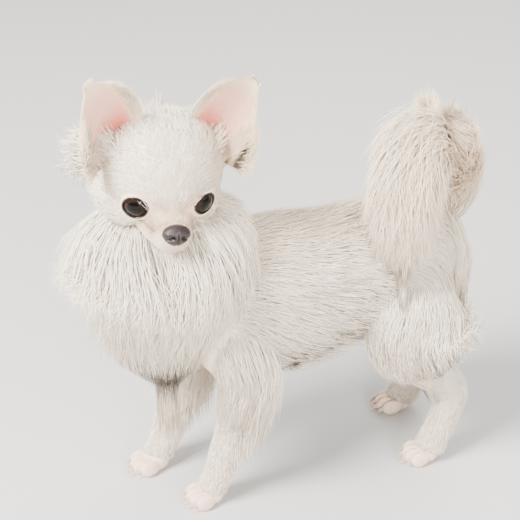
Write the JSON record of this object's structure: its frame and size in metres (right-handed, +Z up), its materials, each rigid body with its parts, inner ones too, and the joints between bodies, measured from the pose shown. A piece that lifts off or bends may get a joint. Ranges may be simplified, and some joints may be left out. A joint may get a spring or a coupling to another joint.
{
  "type": "long-coated chihuahua, still life-size model",
  "caption": "Small long-coated dog standing on four feet, head turned to its left, ears erect, plumed tail curled over its hip.",
  "frame": {"origin": "on the floor under the middle of the whole animal's box", "axes": "+Z up, -Y the way the trunk faces, +X the dog's left; the head looks towards +X"},
  "size_m": [0.119, 0.2828, 0.2891],
  "materials": {
    "eyes": "wet gloss, very dark brown",
    "nose_leather": "moist pebbled leather",
    "face_coat": "short dense hair, matt",
    "ears": "bare pink skin inside, short cream hair outside",
    "leg_coat": "short hair over pink skin, long feathering behind",
    "ruff_coat": "long soft hair, matt with a faint sheen",
    "body_coat": "long soft hair, matt with a faint sheen",
    "tail_coat": "long soft hair, matt with a faint sheen",
    "claws": "pale horn, satin"
  },
  "bodies": {
    "root": {"eye_left": "eyes", "eye_right": "eyes", "nose": "nose_leather", "head": "face_coat", "ear_left": "ears", "ear_right": "ears", "foreleg_left": "leg_coat", "foreleg_right": "leg_coat", "thigh_left": "body_coat", "thigh_right": "body_coat", "hindleg_left": "leg_coat", "hindleg_right": "leg_coat", "neck": "ruff_coat", "torso": "body_coat", "tail_root": "tail_coat", "tail_plume": "tail_coat"}
  },
  "joints": []
}
